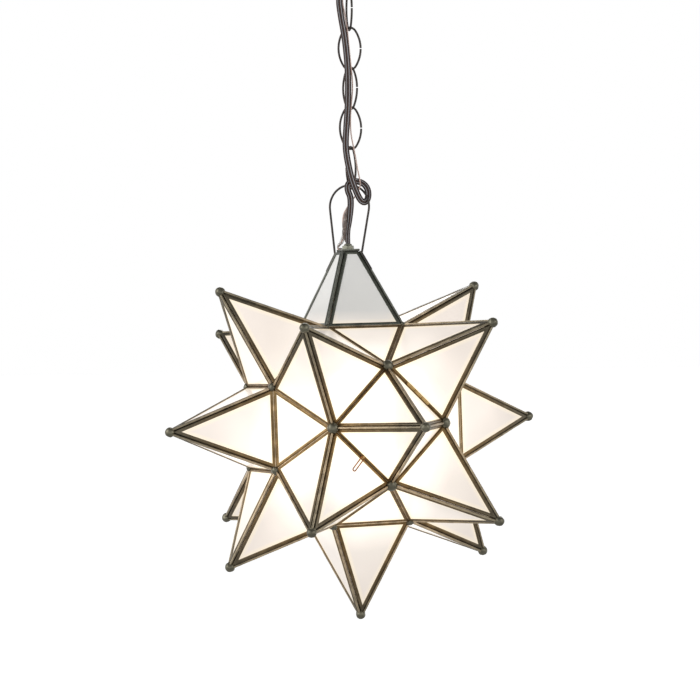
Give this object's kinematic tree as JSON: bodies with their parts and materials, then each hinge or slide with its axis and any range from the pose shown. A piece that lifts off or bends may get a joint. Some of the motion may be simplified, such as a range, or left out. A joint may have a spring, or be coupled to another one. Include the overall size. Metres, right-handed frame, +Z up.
{
  "type": "moravian star pendant light",
  "caption": "Hanging glass star lamp of long pyramid points in metal channels, on an oval-link chain with a wire bail, a threaded cord, a ceiling canopy and one hinged point as its door.",
  "frame": {"origin": "centre of the ceiling canopy's rim, on the ceiling plane, straight above the chain", "axes": "+Z up along the hanging chain, -Y towards the viewer, +X to the viewer's right; the canopy's crossbar runs along X"},
  "size_m": [0.3423, 0.3423, 0.6301],
  "materials": {
    "star_glass": "gloss",
    "channels": "satin",
    "solder": "satin",
    "chain_wire": "satin",
    "canopy": "satin",
    "zinc_steel": "satin",
    "pewter_brass": "satin",
    "holder_brass": "satin",
    "insulator": "matte",
    "bulb_base": "satin",
    "bulb_glass": "gloss",
    "hinge_brass": "satin",
    "cord_jacket": "gloss",
    "ground_jacket": "gloss"
  },
  "bodies": {
    "ceiling_mount": {"canopy_shell": "canopy", "ceiling_crossbar": "zinc_steel", "canopy_nipple": "zinc_steel", "canopy_locknuts": "zinc_steel", "collar_loop": "chain_wire", "power_cord": "cord_jacket", "ground_wire": "ground_jacket"},
    "link_1": {"chain_link_1": "chain_wire"},
    "link_2": {"chain_link_2": "chain_wire"},
    "link_3": {"chain_link_3": "chain_wire"},
    "link_4": {"chain_link_4": "chain_wire"},
    "link_5": {"chain_link_5": "chain_wire"},
    "door": {"glass_door": "star_glass", "came_door": "channels", "door_tip_cap": "solder", "door_knuckle": "hinge_brass", "pull_eyelet": "hinge_brass"},
    "pull": {"pull_loop": "hinge_brass"},
    "star": {"bail": "chain_wire", "bulb_base": "bulb_base", "bulb_glass": "bulb_glass", "came_flat_triangles": "channels", "came_lower": "channels", "came_middle": "channels", "came_top_stub": "channels", "came_upper": "channels", "cap_plate": "pewter_brass", "glass_back": "star_glass", "glass_bottom": "star_glass", "glass_flat_triangles": "star_glass", "glass_high_left": "star_glass", "glass_high_right": "star_glass", "glass_left": "star_glass", "glass_low_left": "star_glass", "glass_low_right": "star_glass", "glass_lower_back_left": "star_glass", "glass_lower_back_right": "star_glass", "glass_lower_front_left": "star_glass", "glass_lower_front_right": "star_glass", "glass_right": "star_glass", "glass_top_stub": "star_glass", "glass_upper_back_left": "star_glass", "glass_upper_back_right": "star_glass", "glass_upper_front_left": "star_glass", "glass_upper_front_right": "star_glass", "ground_screw": "zinc_steel", "ground_wire_tail": "ground_jacket", "hinge_pin": "hinge_brass", "holder_cap": "holder_brass", "holder_insulator": "insulator", "holder_screw_shell": "holder_brass", "holder_shell": "holder_brass", "power_cord_tail": "cord_jacket", "solder_joints": "solder", "star_knuckles": "hinge_brass", "stem": "pewter_brass", "stem_nuts": "pewter_brass", "tip_caps": "solder"}
  },
  "joints": [
    {"name": "link_1_swing", "type": "hinge", "parent": "ceiling_mount", "child": "link_1", "pos_m": [0, 0, -0.0477], "axis": [0.9703, 0.2419, 0], "range_deg": [-20, 20], "deforming": ["power_cord", "ground_wire"]},
    {"name": "link_2_swing", "type": "hinge", "parent": "link_1", "child": "link_2", "pos_m": [0, 0, -0.0835], "axis": [0.2419, -0.9703, 0], "range_deg": [-20, 20], "deforming": ["power_cord", "ground_wire"]},
    {"name": "link_3_swing", "type": "hinge", "parent": "link_2", "child": "link_3", "pos_m": [0, 0, -0.12], "axis": [1, 0, 0], "range_deg": [-20, 20], "deforming": ["power_cord", "ground_wire"]},
    {"name": "link_4_swing", "type": "hinge", "parent": "link_3", "child": "link_4", "pos_m": [0, 0, -0.1565], "axis": [0.6293, -0.7771, 0], "range_deg": [-20, 20], "deforming": ["power_cord", "ground_wire"]},
    {"name": "link_5_swing", "type": "hinge", "parent": "link_4", "child": "link_5", "pos_m": [0, 0, -0.193], "axis": [0.9636, 0.2672, 0], "range_deg": [-20, 20], "deforming": ["power_cord", "ground_wire", "power_cord_tail", "ground_wire_tail"]},
    {"name": "star_swing", "type": "hinge", "parent": "link_5", "child": "star", "pos_m": [0, 0, -0.2295], "axis": [0.4195, 0.9078, 0], "range_deg": [-20, 20], "deforming": ["power_cord_tail", "ground_wire_tail"]},
    {"name": "door_swing", "type": "hinge", "parent": "star", "child": "door", "pos_m": [0.05752, -0.07819, -0.41878], "axis": [-0.6792, -0.237, 0.6947], "range_deg": [0, 80]},
    {"name": "pull_swing", "type": "hinge", "parent": "door", "child": "pull", "pos_m": [0.00765, -0.09808, -0.47433], "axis": [-0.6792, -0.237, 0.6947], "range_deg": [0, 90]}
  ]
}
